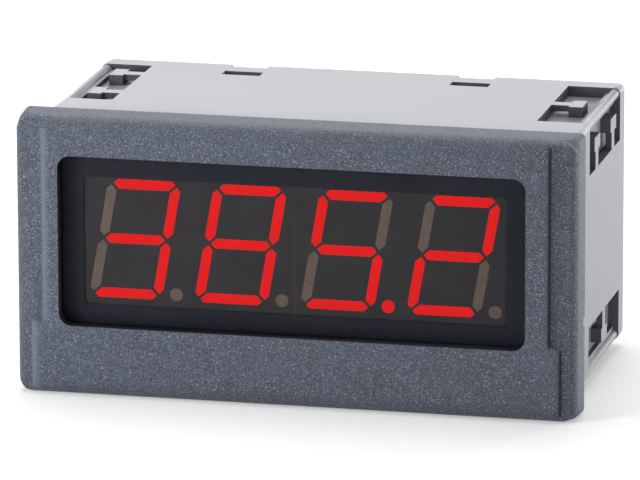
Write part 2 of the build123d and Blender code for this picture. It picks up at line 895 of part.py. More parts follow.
# Upright voltage regulator with a holed tab and three legs
with BuildPart() as voltage_regulator:
    body_bottom = main_board_top + regulator_leg_length
    body_top = body_bottom + regulator_body_height
    tab_back = regulator_y + regulator_body_depth
    half = regulator_width / 2
    block((regulator_x - half, regulator_x + half), (regulator_y, tab_back), (body_bottom, body_top))
    with BuildSketch(across(tab_back - regulator_tab_thickness)):
        with Locations((regulator_x, body_top + regulator_tab_height / 2)):
            Rectangle(regulator_width, regulator_tab_height)
            Circle(regulator_hole_radius, mode=Mode.SUBTRACT)
    extrude(amount=-regulator_tab_thickness)
    leg_y = regulator_y + regulator_body_depth / 2
    for column in (-1, 0, 1):
        x = regulator_x + column * regulator_leg_pitch
        leg_half = regulator_leg_width / 2
        leg_z = (main_board_top, body_bottom)
        block((x - leg_half, x + leg_half), (leg_y - leg_half, leg_y + leg_half), leg_z)
voltage_regulator.part.label = "voltage_regulator"
export_step(voltage_regulator.part, "parts/voltage_regulator.step")


# Clock crystal in its flat can
with BuildPart() as clock_crystal:
    with BuildSketch(level_plane(main_board_top)):
        with Locations((crystal_x, crystal_y)):
            SlotOverall(crystal_width, crystal_depth)
    extrude(amount=crystal_height)
clock_crystal.part.label = "clock_crystal"
export_step(clock_crystal.part, "parts/clock_crystal.step")


# Disc varistor across the supply, on two legs
with BuildPart() as varistor:
    disc_level = main_board_top + varistor_leg_length + varistor_radius
    with BuildSketch(across(varistor_y)):
        with Locations((varistor_x, disc_level)):
            Circle(varistor_radius)
    extrude(amount=-varistor_thickness)
    leg_y = varistor_y + varistor_thickness / 2
    for side in (-1, 1):
        x = varistor_x + side * varistor_leg_pitch / 2
        leg_x = (x - varistor_leg / 2, x + varistor_leg / 2)
        block(leg_x, (leg_y - varistor_leg / 2, leg_y + varistor_leg / 2), (main_board_top, disc_level))
varistor.part.label = "varistor"
export_step(varistor.part, "parts/varistor.step")


# Row of input resistors, each with bent leads
with BuildPart() as input_resistors:
    resistor_level = main_board_top + resistor_rise
    for column in range(resistor_count):
        x = resistor_x + column * resistor_pitch
        with BuildSketch(across(resistor_y - resistor_length / 2)):
            with Locations((x, resistor_level)):
                Circle(resistor_radius)
        extrude(amount=-resistor_length)
        lead_x = (x - resistor_lead / 2, x + resistor_lead / 2)
        lead_z = (resistor_level - resistor_lead / 2, resistor_level + resistor_lead / 2)
        span = resistor_lead_span / 2
        block(lead_x, (resistor_y - span, resistor_y + span), lead_z)
        for side in (-1, 1):
            foot_y = (resistor_y + side * span, resistor_y + side * (span - resistor_lead))
            block(lead_x, foot_y, (main_board_top, resistor_level))
input_resistors.part.label = "input_resistors"
export_step(input_resistors.part, "parts/input_resistors.step")


def pole_places(centre, poles):
    """Sideways places of a connector's poles."""
    return [centre + (pole - (poles - 1) / 2) * pole_pitch for pole in range(poles)]


def in_plug(low, high):
    """Heights in a plug, from its mid height."""
    return (plug_level + low, plug_level + high)


def spread(x, width):
    """Limits of a width about x."""
    return (x - width / 2, x + width / 2)


# Terminal sockets on the main board, open to the rear, with one angled pin a pole
sockets = {"input": (input_x, input_poles), "supply": (supply_x, supply_poles)}
for name, (centre, poles) in sockets.items():
    with BuildPart() as terminal_socket:
        socket_z = (main_board_top, main_board_top + socket_height)
        block(spread(centre, socket_width(poles)), (socket_front, housing_length), socket_z)
        inner_width = socket_width(poles) - 2 * socket_wall
        inner_z = in_plug(-cavity_height_socket / 2, cavity_height_socket / 2)
        inner_y = (socket_inner, housing_length + overshoot)
        block(spread(centre, inner_width), inner_y, inner_z, mode=Mode.SUBTRACT)
        for x in pole_places(centre, poles):
            pin_z = in_plug(pin_level - socket_pin_size / 2, pin_level + socket_pin_size / 2)
            pin_y = (socket_front - overshoot, socket_inner + overshoot)
            block(spread(x, socket_pin_size), pin_y, pin_z, mode=Mode.SUBTRACT)
    terminal_socket.part.label = f"{name}_socket"
    export_step(terminal_socket.part, f"parts/{name}_socket.step")

    with BuildPart() as socket_pins:
        bend_y = (socket_front - socket_pin_size, socket_front)
        for x in pole_places(centre, poles):
            pin_x = spread(x, socket_pin_size)
            pin_z = in_plug(pin_level - socket_pin_size / 2, pin_level + socket_pin_size / 2)
            block(pin_x, (socket_front - socket_pin_size, socket_inner + socket_pin_reach), pin_z)
            block(pin_x, bend_y, (main_board_top, pin_z[1]))
    socket_pins.part.label = f"{name}_pins"
    export_step(socket_pins.part, f"parts/{name}_pins.step")

# Pull-off terminal plugs
for name, (centre, poles) in sockets.items():
    with BuildPart() as terminal_plug:
        front_z = in_plug(-plug_front_height / 2, plug_front_height / 2)
        block(spread(centre, plug_width(poles)), (plug_front, plug_shoulder + overshoot), front_z)
        rear_z = in_plug(-plug_height / 2, plug_height / 2)
        block(spread(centre, plug_width(poles)), (plug_shoulder, plug_rear), rear_z)
        rear_edges = terminal_plug.faces().sort_by(Axis.Y)[-1].edges()
        fillet(rear_edges.filter_by(Axis.X), plug_round)
        for x in pole_places(centre, poles):
            entry_z = in_plug(pin_level - entry_size / 2, pin_level + entry_size / 2)
            entry_y = (plug_front - overshoot, fork_start)
            block(spread(x, entry_size), entry_y, entry_z, mode=Mode.SUBTRACT)
            slot_half = fork_half + contact_slot_clearance
            fork_z = in_plug(pin_level - slot_half, pin_level + slot_half)
            slot_x = spread(x, contact_width + 2 * contact_slot_clearance)
            fork_y = (fork_start - contact_slot_clearance, fork_end + leaf_thickness)
            block(slot_x, fork_y, fork_z, mode=Mode.SUBTRACT)
            bar_z = in_plug(bar_bottom - contact_slot_clearance, bar_top + contact_slot_clearance)
            bar_y = (fork_start, cage_rear + contact_anchor)
            block(slot_x, bar_y, bar_z, mode=Mode.SUBTRACT)
            pocket_y = (cage_front - cage_clearance, cage_rear + cage_clearance)
            pocket_x = spread(x, cage_width + 2 * cage_clearance)
            block(pocket_x, pocket_y, in_plug(pocket_bottom, pocket_top), mode=Mode.SUBTRACT)
            wire_z = in_plug(cage_floor, cage_floor + wire_hole_height)
            wire_y = (cage_rear, plug_rear + overshoot)
            block(spread(x, wire_hole_width), wire_y, wire_z, mode=Mode.SUBTRACT)
        for radius, low in ((shank_radius, pocket_top), (head_radius, ledge_top)):
            with BuildSketch(level_plane(plug_level + low)):
                with Locations(*[(x, screw_y) for x in pole_places(centre, poles)]):
                    Circle(radius + screw_clearance)
            extrude(amount=plug_height / 2 - low, mode=Mode.SUBTRACT)
    terminal_plug.part.label = f"{name}_plug"
    export_step(terminal_plug.part, f"parts/{name}_plug.step")

    with BuildPart() as plug_contacts:
        for x in pole_places(centre, poles):
            contact_x = spread(x, contact_width)
            block(contact_x, (fork_end, cage_rear + contact_anchor), in_plug(bar_bottom, bar_top))
            web_z = in_plug(pin_level - fork_half, pin_level + fork_half)
            block(contact_x, (fork_end, fork_end + leaf_thickness), web_z)
            for side in (-1, 1):
                outer = pin_level + side * fork_half
                inner = outer - side * leaf_thickness
                leaf_z = in_plug(min(inner, outer), max(inner, outer))
                block(contact_x, (fork_start, fork_end), leaf_z)
    plug_contacts.part.label = f"{name}_contacts"
    export_step(plug_contacts.part, f"parts/{name}_contacts.step")

    for number, x in enumerate(pole_places(centre, poles), start=1):
        with BuildPart() as terminal_screw:
            with BuildSketch(level_plane(plug_level + ledge_top)):
                with Locations((x, screw_y)):
                    Circle(head_radius)
            extrude(amount=head_height)
            with BuildSketch(level_plane(plug_level + ledge_top)):
                with Locations((x, screw_y)):
                    Circle(shank_radius)
            extrude(amount=-(ledge_top - bar_top - cage_clearance))
            slot_z = in_plug(head_top - head_slot_depth, head_top + overshoot)
            slot_x = spread(x, 2 * head_radius + overshoot)
            block(slot_x, spread(screw_y, head_slot_width), slot_z, mode=Mode.SUBTRACT)
        terminal_screw.part.label = f"{name}_screw_{number}"
        export_step(terminal_screw.part, f"parts/{name}_screw_{number}.step")

        with BuildPart() as clamp_cage:
            block(spread(x, cage_width), (cage_front, cage_rear), in_plug(cage_bottom, cage_top))
            inside_x = spread(x, cage_width - 2 * cage_wall)
            inside_y = (cage_front - overshoot, cage_rear + overshoot)
            block(inside_x, inside_y, in_plug(cage_floor, cage_top - cage_wall), mode=Mode.SUBTRACT)
            with BuildSketch(level_plane(plug_level + cage_top)):
                with Locations((x, screw_y)):
                    Circle(shank_radius + screw_clearance)
            extrude(amount=-(cage_wall + bar_clearance), mode=Mode.SUBTRACT)
        clamp_cage.part.label = f"{name}_clamp_{number}"
        export_step(clamp_cage.part, f"parts/{name}_clamp_{number}.step")


# Rear cover with openings for the sockets, four latches and a row of vents
with BuildPart() as rear_cover:
    cover_width = cavity_width - 2 * cover_side_gap
    cover_height = cavity_height - 2 * cover_side_gap
    with BuildSketch(across(cover_front)):
        RectangleRounded(cover_width, cover_height, cavity_corner)
        for centre, poles in sockets.values():
            opening_z = main_board_top + socket_height / 2
            with Locations((centre, opening_z)):
                Rectangle(
                    socket_width(poles) + 2 * cover_clearance,
                    socket_height + 2 * cover_clearance,
                    mode=Mode.SUBTRACT,
                )
        with Locations((0, cover_height / 2 - vent_margin)):
            with GridLocations(vent_pitch, 0, vent_count, 1):
                SlotOverall(vent_length, vent_width, rotation=90, mode=Mode.SUBTRACT)
    extrude(amount=-cover_thickness)
    for side, level in corners:
        latch_x = spread(side * latch_offset, latch_width)
        outer = cover_height / 2
        tongue_start = latch_window_start - latch_tip
        tongue_z = (level * (outer - latch_thickness), level * outer)
        block(latch_x, (tongue_start, cover_front + sink), tongue_z)
        tooth_y = (latch_window_start + latch_play, latch_window_start + latch_window_length - latch_play)
        block(latch_x, tooth_y, (level * (outer - sink), level * (outer + latch_tooth)))
rear_cover.part.label = "rear_cover"
export_step(rear_cover.part, "parts/rear_cover.step")
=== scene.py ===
"""Looks of the digital panel meter: finishes, corners of the bezel, floor, lights and camera.

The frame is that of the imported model: X right, Y into the panel, Z up. Lengths named here are in
millimetres, and are multiplied by MM where Blender takes metres.
"""
from math import cos, radians, sin

import bmesh
import bpy
from mathutils import Matrix, Vector


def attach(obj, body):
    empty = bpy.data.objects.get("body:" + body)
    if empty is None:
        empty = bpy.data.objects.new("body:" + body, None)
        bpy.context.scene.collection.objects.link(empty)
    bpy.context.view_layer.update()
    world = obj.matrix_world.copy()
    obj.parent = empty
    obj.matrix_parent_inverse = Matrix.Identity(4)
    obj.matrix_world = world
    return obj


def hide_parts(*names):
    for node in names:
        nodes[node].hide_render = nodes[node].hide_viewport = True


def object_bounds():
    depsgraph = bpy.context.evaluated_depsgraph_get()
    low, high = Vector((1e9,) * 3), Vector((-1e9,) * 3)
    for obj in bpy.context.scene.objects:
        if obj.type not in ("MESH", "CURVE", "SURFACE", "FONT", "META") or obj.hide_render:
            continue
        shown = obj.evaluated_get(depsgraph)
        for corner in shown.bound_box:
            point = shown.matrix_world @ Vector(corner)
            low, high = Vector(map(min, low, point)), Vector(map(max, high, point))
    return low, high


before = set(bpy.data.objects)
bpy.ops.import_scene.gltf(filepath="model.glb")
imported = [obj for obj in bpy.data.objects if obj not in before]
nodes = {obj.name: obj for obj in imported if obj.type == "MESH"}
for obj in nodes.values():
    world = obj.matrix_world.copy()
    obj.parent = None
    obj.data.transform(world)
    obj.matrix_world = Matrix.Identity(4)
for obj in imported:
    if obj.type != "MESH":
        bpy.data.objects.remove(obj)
cad_bounds = [list(corner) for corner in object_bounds()]
MM = 0.001

# Camera, as fitted to the straight edges in the photo
CAMERA_YAW = radians(13.206)
CAMERA_PITCH = radians(14.031)
CAMERA_ROLL = radians(-0.164)
CAMERA_DISTANCE = 1142.1
CAMERA_TARGET = Vector((2.860, 0.0, 3.427))
CAMERA_LENS = 384.1
SENSOR_WIDTH = 36.0

# Farthest that the camera sees
CAMERA_REACH = 100000.0

# Square lamps that face the meter: name, place, size, and power in watts
LAMPS = (
    ("key", (-200.0, -200.0, 70.0), 80.0, 0.41),
    ("top", (-50.0, 100.0, 600.0), 400.0, 1.45),
    ("back", (-100.0, 600.0, 450.0), 400.0, 1.2),
    ("side", (500.0, 700.0, 100.0), 200.0, 2.4),
    ("near", (500.0, -80.0, 100.0), 200.0, 0.3),
)

# Light of the surroundings on the meter, and what the floor adds where it is seen
WORLD_LIGHT = 0.4
FLOOR_GLOW = 0.3

# Side of the square floor
FLOOR_SIZE = 30000.0

# Bezel's outline: corner radii and stations at distances forward of the plane of the panel. It lies a
# hair inside the CAD bezel's flat sides, so that it cuts them cleanly
BEZEL_WIDTH = 96.0
BEZEL_HEIGHT = 48.0
BEZEL_CORNERS = (
    (-5.0, 1.0),
    (0.0, 1.0),
    (2.0, 1.35),
    (4.0, 1.75),
    (4.9, 2.4),
    (5.5, 3.1),
    (6.9, 3.5),
    (9.0, 3.5),
)
BEZEL_STATIONS = (-5.0, 0.0, 1.0, 2.0, 3.0, 4.0, 4.5, 4.9, 5.2, 5.5, 6.2, 6.9, 9.0)
ARC_STEPS = 10
OUTLINE_INSET = 0.002
SMOOTH_ANGLE = radians(32)

# Signs of X and Z at the four corners, turning from the upper right
CORNERS = ((1, 1), (-1, 1), (-1, -1), (1, -1))

# Blocks that fill the CAD bezel's corners before they are trimmed: how far each reaches in from the
# outline in X and in Z, how far it stands out of it, and how far forward it goes
FILL_REACHES = ((1.9, 2.7), (2.7, 1.5))
FILL_OVERSHOOT = 1.0
FILL_DEPTH = 4.9

# Modifiers: how near points are merged, and the rounding of edges sharper than an angle
WELD_DISTANCE = 0.001
EDGE_ROUNDING = 0.12
EDGE_SEGMENTS = 2
EDGE_ANGLE = radians(30)

# Inner walls and floors of the housing's clamp recesses, as distances from the meter's axis, with a
# tolerance for them and the least share of a wall's normal that runs straight across the recess
RECESS_WALL_X = 36.8
RECESS_WALL_Z = 13.2
RECESS_FLOOR_X = 44.01
RECESS_FLOOR_Z = 20.41
WALL_TOLERANCE = 0.05
SQUARE_ON = 0.9

# Lines of painted shade in the steps of the bezel's front, each as X, lowest Z and highest Z
STEP_LINES = ((43.42, -11.0, 22.9), (45.32, -23.0, -11.5))
STEP_WIDTH = 0.34
STEP_FACING = 0.4

# Painted highlight: paler rounded edges at the left of the bezel's raised field, in the same form
HIGHLIGHT_LINES = ((-42.8, -11.0, 22.0), (-44.7, -23.0, -11.2))
HIGHLIGHT_WIDTH = 1.0
HIGHLIGHT_SHARE = 0.7

# Window opening: its sides, its levels, and the planes behind which its rim and its deeper walls begin; both
# are painted with shade
OPENING_SIDES = (-40.9, 40.0)
OPENING_LEVELS = (-12.25, 18.05)
RIM_PLANE = -7.96
DEEP_PLANE = -7.6

# Painted highlight along the edges where the two display modules meet
DIVIDER_PLACE = -0.64
DIVIDER_WIDTH = 0.5

# Grain of the bezel, and its painted glints
GRAIN_SIZE = 0.24
GRAIN_DEPTH = 0.2
GLINT_SIZE = 0.22
GLINT_SHARE = 0.55

# Poles of the two terminals
POLES = {"input": 4, "supply": 2}

# Sockets of a Mix node that mixes colours: the share, the two colours and the result
MIX_SHARE = 0
MIX_FIRST = 6
MIX_SECOND = 7
MIX_RESULT = 2


def srgb(red, green, blue):
    """Linear colour of an 8-bit screen colour, with full alpha."""
    channels = []
    for value in (red, green, blue):
        share = value / 255
        linear = share / 12.92 if share <= 0.04045 else ((share + 0.055) / 1.055) ** 2.4
        channels.append(linear)
    return (*channels, 1.0)


BLACK = (0.0, 0.0, 0.0, 1.0)
WHITE = (1.0, 1.0, 1.0, 1.0)

# Colours of the bezel, from its grain's pits to its painted glints, and of its painted shade and painted
# highlight
PIT = srgb(48, 55, 68)
SLATE_DEEP = srgb(72, 80, 93)
SLATE = srgb(80, 88, 102)
PEAK = srgb(108, 117, 134)
GLINT = srgb(205, 211, 222)
HIGHLIGHT_SLATE = srgb(118, 127, 141)
STEP_SHADE = srgb(12, 15, 21)
RIM_SHADE = srgb(12, 13, 20)
OPENING_SHADE = srgb(56, 58, 70)

# Colours of the housing and the rear cover
HOUSING_DEEP = srgb(58, 62, 70)
HOUSING_SLATE = srgb(66, 70, 78)
HOUSING_SHEEN = (0.95, 0.95, 1.0, 1.0)

# Glow of the lit segments
RED_GLOW_DIM = (0.66, 0.012, 0.013, 1.0)
RED_GLOW = (0.70, 0.013, 0.014, 1.0)
RED_GLOW_STRENGTH = 1.15

# Share of a metal's colour in its darkest streaks
STREAK_SHARE = 0.8


class Tree:
    """A node tree, with short ways to add and join nodes."""

    def __init__(self, tree):
        self.tree = tree

    def add(self, kind, **settings):
        """New node with its settings."""
        node = self.tree.nodes.new(kind)
        for key, value in settings.items():
            setattr(node, key, value)
        return node

    def link(self, source, target):
        """Joins an output to an input."""
        self.tree.links.new(source, target)

    def feed(self, socket, source):
        """Sets an input to a value, or joins it to an output."""
        if isinstance(source, (int, float, tuple)):
            socket.default_value = source
        else:
            self.link(source, socket)

    def math(self, operation, first, second=0.0, clamp=False):
        """Sum, product and so on of two values or outputs."""
        node = self.add("ShaderNodeMath", operation=operation, use_clamp=clamp)
        self.feed(node.inputs[0], first)
        self.feed(node.inputs[1], second)
        return node.outputs["Value"]

    def product(self, first, second):
        """Product of two values or outputs."""
        return self.math("MULTIPLY", first, second)

    def split(self, vector):
        """X, Y and Z outputs of a vector."""
        node = self.add("ShaderNodeSeparateXYZ")
        self.link(vector, node.inputs["Vector"])
        return node.outputs


class Look(Tree):
    """A material with its Principled shader, and short ways to add texture to it."""

    def __init__(self, name, roughness, specular=0.5):
        self.material = bpy.data.materials.new(name)
        self.material.use_nodes = True
        super().__init__(self.material.node_tree)
        self.shader = self.tree.nodes["Principled BSDF"]
        self.set("Roughness", roughness)
        self.set("Specular IOR Level", specular)
        coordinates = self.add("ShaderNodeTexCoord").outputs
        self.place = coordinates["Object"]
        self.facing = coordinates["Normal"]
        self.height = None

    def set(self, socket, source):
        """Sets or joins an input of the shader."""
        self.feed(self.shader.inputs[socket], source)

    def noise(self, size, detail=2.0, roughness=0.5, stretch=None):
        """Noise whose features are about size across."""
        place = self.place
        if stretch:
            mapping = self.add("ShaderNodeMapping")
            mapping.inputs["Scale"].default_value = stretch
            self.link(place, mapping.inputs["Vector"])
            place = mapping.outputs["Vector"]
        node = self.add("ShaderNodeTexNoise")
        node.inputs["Scale"].default_value = 1 / (size * MM)
        node.inputs["Detail"].default_value = detail
        node.inputs["Roughness"].default_value = roughness
        self.link(place, node.inputs["Vector"])
        return node.outputs["Fac"]

    def ramp(self, source, low, first, high, last):
        """Colour along source, from the first colour at low to the last at high."""
        node = self.add("ShaderNodeValToRGB")
        for element, place, colour in zip(node.color_ramp.elements, (low, high), (first, last)):
            element.position = place
            element.color = colour
        self.link(source, node.inputs["Fac"])
        return node.outputs["Color"]

    def mottle(self, dark, pale, size, detail=3.0, spread=0.15):
        """Cloudy mix of two near colours."""
        return self.ramp(self.noise(size, detail), 0.5 - spread, dark, 0.5 + spread, pale)

    def mix(self, share, first, second):
        """Mix of two colours by share."""
        node = self.add("ShaderNodeMix", data_type="RGBA")
        self.feed(node.inputs[MIX_SHARE], share)
        self.feed(node.inputs[MIX_FIRST], first)
        self.feed(node.inputs[MIX_SECOND], second)
        return node.outputs[MIX_RESULT]

    def vary_roughness(self, source, least, spread):
        """Roughness that rises along source from the least by spread."""
        self.set("Roughness", self.math("ADD", self.product(source, spread), least))

    def bump(self, height, depth):
        """Adds a bump of the given depth to the shader's normal."""
        node = self.add("ShaderNodeBump")
        node.inputs["Strength"].default_value = 1.0
        node.inputs["Distance"].default_value = depth * MM
        self.link(height, node.inputs["Height"])
        if self.height is not None:
            self.link(self.height, node.inputs["Normal"])
        self.height = node.outputs["Normal"]
        self.set("Normal", self.height)


def share_along(look, lines, width):
    """Share of a finish near upright lines, each given as X, lowest Z and highest Z."""
    place = look.split(look.place)
    total = 0.0
    for line, low, high in lines:
        off = look.math("ABSOLUTE", look.math("SUBTRACT", place["X"], line * MM))
        near = look.math("SUBTRACT", 1.0, look.math("DIVIDE", off, width * MM), clamp=True)
        above = look.math("GREATER_THAN", place["Z"], low * MM)
        under = look.math("LESS_THAN", place["Z"], high * MM)
        total = look.math("ADD", total, look.product(near, look.product(above, under)))
    return total


def step_share(look):
    """Share of painted shade on the walls that face right in the steps of the bezel's front."""
    facing = look.split(look.facing)
    right = look.math("GREATER_THAN", facing["X"], STEP_FACING)
    return look.product(share_along(look, STEP_LINES, STEP_WIDTH), right)


def opening_share(look, plane):
    """One inside the outline of the window opening and behind a plane, and nought elsewhere."""
    place = look.split(look.place)
    inside = look.math("GREATER_THAN", place["Y"], plane * MM)
    for axis, (low, high) in (("X", OPENING_SIDES), ("Z", OPENING_LEVELS)):
        above = look.math("GREATER_THAN", place[axis], low * MM)
        under = look.math("LESS_THAN", place[axis], high * MM)
        inside = look.product(inside, look.product(above, under))
    return inside


def textured_slate():
    """Spark-eroded slate-grey plastic of the bezel: pitted grain with fine painted glints."""
    look = Look("textured_slate", roughness=0.5, specular=0.35)
    grain = look.noise(GRAIN_SIZE, roughness=0.6)
    base = look.mottle(SLATE_DEEP, SLATE, size=4.0)
    pits = look.ramp(grain, low=0.28, first=WHITE, high=0.5, last=BLACK)
    peaks = look.ramp(grain, low=0.5, first=BLACK, high=0.72, last=WHITE)
    # Painted glints: small highlights put into the grain's colour
    specks = look.noise(GLINT_SIZE, detail=1.0)
    glints = look.ramp(specks, low=0.62, first=BLACK, high=0.74, last=WHITE)
    pitted = look.mix(peaks, look.mix(pits, base, PIT), PEAK)
    grained = look.mix(look.product(glints, GLINT_SHARE), pitted, GLINT)
    # Painted highlight: paler slate along the rounded edges at the left of the raised field
    highlight_share = look.product(share_along(look, HIGHLIGHT_LINES, HIGHLIGHT_WIDTH), HIGHLIGHT_SHARE)
    highlighted = look.mix(highlight_share, grained, HIGHLIGHT_SLATE)
    # Painted shade: near-black lines on the right-facing walls of the front's steps
    stepped = look.mix(step_share(look), highlighted, STEP_SHADE)
    # Painted shade: the window opening's rim near black, and its deeper walls dark
    rimmed = look.mix(opening_share(look, RIM_PLANE), stepped, RIM_SHADE)
    look.set("Base Color", look.mix(opening_share(look, DEEP_PLANE), rimmed, OPENING_SHADE))
    look.vary_roughness(grain, least=0.4, spread=0.2)
    look.bump(grain, GRAIN_DEPTH)
    return look.material


def satin_slate():
    """Smooth satin slate-grey plastic of the housing and the rear cover, pale at grazing angles."""
    look = Look("satin_slate", roughness=0.45)
    look.set("Base Color", look.mottle(HOUSING_DEEP, HOUSING_SLATE, size=9.0))
    look.set("IOR", 1.6)
    look.set("Sheen Weight", 1.0)
    look.set("Sheen Roughness", 0.5)
    look.set("Sheen Tint", HOUSING_SHEEN)
    look.bump(look.noise(size=0.8, detail=3.0), depth=0.004)
    return look.material


def shaded_slate():
    """Slate-grey plastic without the housing's sheen: painted shade on the deep side walls in the housing's
    recesses.
    """
    look = Look("shaded_slate", roughness=0.7, specular=0.2)
    look.set("Base Color", look.mottle(srgb(70, 71, 76), srgb(88, 88, 92), size=2.0))
    look.bump(look.noise(size=0.4), depth=0.01)
    return look.material


def smoked_window():
    """Clear pane with a light smoke tint."""
    look = Look("smoked_window", roughness=0.04, specular=0.0)
    look.set("Base Color", BLACK)
    look.set("Alpha", 0.15)
    return look.material


def black_film():
    """Printed black film round the display."""
    look = Look("black_film", roughness=0.45, specular=0.3)
    ink = look.mottle(srgb(31, 34, 46), srgb(34, 37, 49), size=3.0, detail=2.0, spread=0.1)
    look.set("Base Color", ink)
    return look.material


def display_face():
    """Dark grey face of the display modules, with a painted highlight along the seam between them."""
    look = Look("display_face", roughness=0.6, specular=0.2)
    face = look.mottle(srgb(70, 68, 71), srgb(75, 73, 75), size=4.0, detail=2.0, spread=0.1)
    place = look.split(look.place)
    aside = look.math("ABSOLUTE", look.math("SUBTRACT", place["X"], DIVIDER_PLACE * MM))
    on_edge = look.math("LESS_THAN", aside, DIVIDER_WIDTH / 2 * MM)
    # Painted highlight along the seam between the modules
    look.set("Base Color", look.mix(on_edge, face, srgb(96, 88, 84)))
    return look.material


def lit_segment():
    """Glowing red resin of a lit segment."""
    look = Look("lit_segment", roughness=0.35, specular=0.15)
    look.set("Base Color", srgb(150, 10, 12))
    glow = look.mottle(RED_GLOW_DIM, RED_GLOW, size=1.2, detail=1.0, spread=0.2)
    look.set("Emission Color", glow)
    look.set("Emission Strength", RED_GLOW_STRENGTH)
    return look.material


def unlit_segment():
    """Milky resin of a dark segment."""
    look = Look("unlit_segment", roughness=0.4, specular=0.15)
    milk = look.mottle(srgb(131, 115, 107), srgb(143, 126, 118), size=1.5, detail=2.0, spread=0.2)
    look.set("Base Color", milk)
    return look.material


def circuit_board():
    """Green solder resist with copper tracks showing faintly under it."""
    look = Look("circuit_board", roughness=0.25)
    blotches = look.noise(size=2.2, detail=0.0)
    tracks = look.ramp(blotches, low=0.49, first=BLACK, high=0.51, last=WHITE)
    look.set("Base Color", look.mix(tracks, srgb(18, 78, 44), srgb(28, 104, 58)))
    look.bump(tracks, depth=0.03)
    look.bump(look.noise(size=0.5), depth=0.004)
    return look.material


def metal(name, colour, roughness, grain, stretch=None):
    """Bare or plated metal with fine brushed or cast grain."""
    look = Look(name, roughness)
    look.set("Metallic", 1.0)
    streaks = look.noise(grain, detail=3.0, roughness=0.6, stretch=stretch)
    dark = tuple(STREAK_SHARE * value for value in colour[:3]) + (1.0,)
    look.set("Base Color", look.mix(streaks, dark, colour))
    look.vary_roughness(streaks, least=roughness - 0.1, spread=0.2)
    look.bump(streaks, depth=0.004)
    return look.material


def moulded(name, dark, pale, roughness):
    """Moulded plastic or lacquer with slight mottling and fine grain."""
    look = Look(name, roughness)
    look.set("Base Color", look.mottle(dark, pale, size=5.0))
    grains = look.noise(size=0.4)
    look.vary_roughness(grains, least=roughness - 0.07, spread=0.15)
    look.bump(grains, depth=0.01)
    return look.material


def dress(material, *names):
    """Gives a material to CAD nodes."""
    for name in names:
        mesh = nodes[name].data
        mesh.materials.clear()
        mesh.materials.append(material)


def dress_case():
    """Materials of the bezel, the housing and the rear cover."""
    satin = satin_slate()
    dress(textured_slate(), "front_bezel")
    dress(satin, "housing", "rear_cover")


def dress_display():
    """Materials of the window, the film, the segments and the display modules."""
    dress(smoked_window(), "window")
    dress(black_film(), "masking_film")
    dress(display_face(), "left_display", "right_display")
    dress(lit_segment(), "lit_segments")
    dress(unlit_segment(), "unlit_segments")


def dress_boards():
    """Materials of the circuit boards and of what stands on them."""
    tin = metal("tinned_pin", srgb(214, 214, 208), roughness=0.3, grain=0.3)
    can = metal("crystal_can", srgb(210, 210, 206), roughness=0.22, grain=0.4, stretch=(1, 1, 5))
    chip_black = moulded("chip_black", srgb(34, 34, 36), srgb(42, 42, 44), roughness=0.55)
    potting = moulded("potting", srgb(30, 34, 44), srgb(38, 42, 52), roughness=0.35)
    sleeve = moulded("sleeve", srgb(24, 28, 44), srgb(30, 34, 52), roughness=0.25)
    varistor_blue = moulded("varistor_blue", srgb(34, 70, 128), srgb(42, 82, 142), roughness=0.4)
    lacquer = moulded("resistor_lacquer", srgb(120, 158, 160), srgb(134, 170, 172), roughness=0.35)
    dress(circuit_board(), "display_board", "main_board")
    dress(tin, "display_pins", "link_pins", "input_pins", "supply_pins")
    dress(can, "clock_crystal")
    dress(chip_black, "link_header", "microcontroller", "converter_chip", "driver_chip", "voltage_regulator")
    dress(potting, "transformer")
    dress(sleeve, "smoothing_capacitors")
    dress(varistor_blue, "varistor")
    dress(lacquer, "input_resistors")


def dress_terminals():
    """Materials of the terminal sockets, the plugs, and the contact, screw and clamp of each pole."""
    green = moulded("terminal_green", srgb(34, 92, 52), srgb(40, 102, 58), roughness=0.42)
    zinc = metal("zinc_plate", srgb(206, 204, 196), roughness=0.34, grain=0.25, stretch=(1, 6, 1))
    brass = metal("tinned_brass", srgb(206, 184, 128), roughness=0.3, grain=0.3)
    for name, poles in POLES.items():
        dress(green, f"{name}_socket", f"{name}_plug")
        dress(brass, f"{name}_contacts")
        for number in range(1, poles + 1):
            dress(zinc, f"{name}_screw_{number}", f"{name}_clamp_{number}")


def corner_radius(forward):
    """Radius of the bezel's corners at a distance forward, growing towards the front."""
    for (near, small), (far, large) in zip(BEZEL_CORNERS, BEZEL_CORNERS[1:]):
        if forward <= far:
            share = (forward - near) / (far - near)
            return small + share * (large - small)
    return BEZEL_CORNERS[-1][1]


def bezel_ring(forward):
    """Points of the bezel's outline at a distance forward, with an arc at each corner."""
    radius = corner_radius(forward)
    centre_x = BEZEL_WIDTH / 2 - OUTLINE_INSET - radius
    centre_z = BEZEL_HEIGHT / 2 - OUTLINE_INSET - radius
    points = []
    for turn, (side, level) in enumerate(CORNERS):
        for step in range(ARC_STEPS + 1):
            angle = radians(90 * (turn + step / ARC_STEPS))
            x = side * centre_x + radius * cos(angle)
            z = level * centre_z + radius * sin(angle)
            points.append(Vector((x, -forward, z)) * MM)
    return points


def add_solid(name, rings):
    """Closed object through rings that have the same number of points."""
    mesh = bpy.data.meshes.new(name)
    shell = bmesh.new()
    loops = [[shell.verts.new(point) for point in ring] for ring in rings]
    count = len(loops[0])
    for first, second in zip(loops, loops[1:]):
        for at in range(count):
            after = (at + 1) % count
            shell.faces.new((first[at], first[after], second[after], second[at]))
    shell.faces.new(loops[0])
    shell.faces.new(loops[-1])
    bmesh.ops.recalc_face_normals(shell, faces=shell.faces)
    shell.to_mesh(mesh)
    shell.free()
    piece = bpy.data.objects.new(name, mesh)
    bpy.context.scene.collection.objects.link(piece)
    return piece


